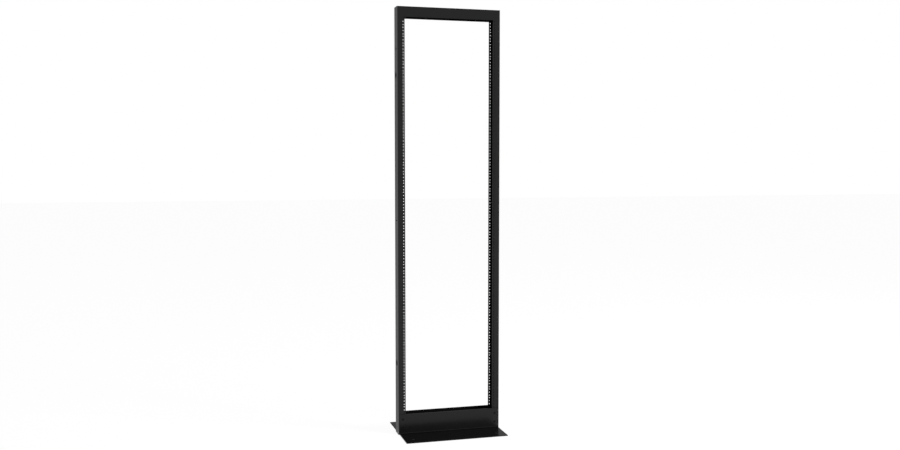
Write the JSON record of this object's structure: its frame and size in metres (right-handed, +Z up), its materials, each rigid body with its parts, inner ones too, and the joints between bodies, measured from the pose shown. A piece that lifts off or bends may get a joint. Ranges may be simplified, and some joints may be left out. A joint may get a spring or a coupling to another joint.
{
  "type": "two post open frame equipment rack",
  "caption": "Free-standing two post open frame rack: two folded channel posts with tapped panel holes, a top channel, and two floor-standing base angles.",
  "frame": {"origin": "on the floor, at the middle of the base's footprint", "axes": "+Z up along the posts, +Y to the rear, +X to the right seen from the front"},
  "size_m": [0.524, 0.389, 2.1082],
  "materials": {
    "post": "black satin powder coat",
    "base": "black satin powder coat",
    "bracket": "black satin powder coat"
  },
  "bodies": {
    "root": {"left_post": "post", "right_post": "post", "top_channel": "post", "front_base_angle": "base", "rear_base_angle": "base", "left_base_bracket": "bracket", "right_base_bracket": "bracket"}
  },
  "joints": []
}
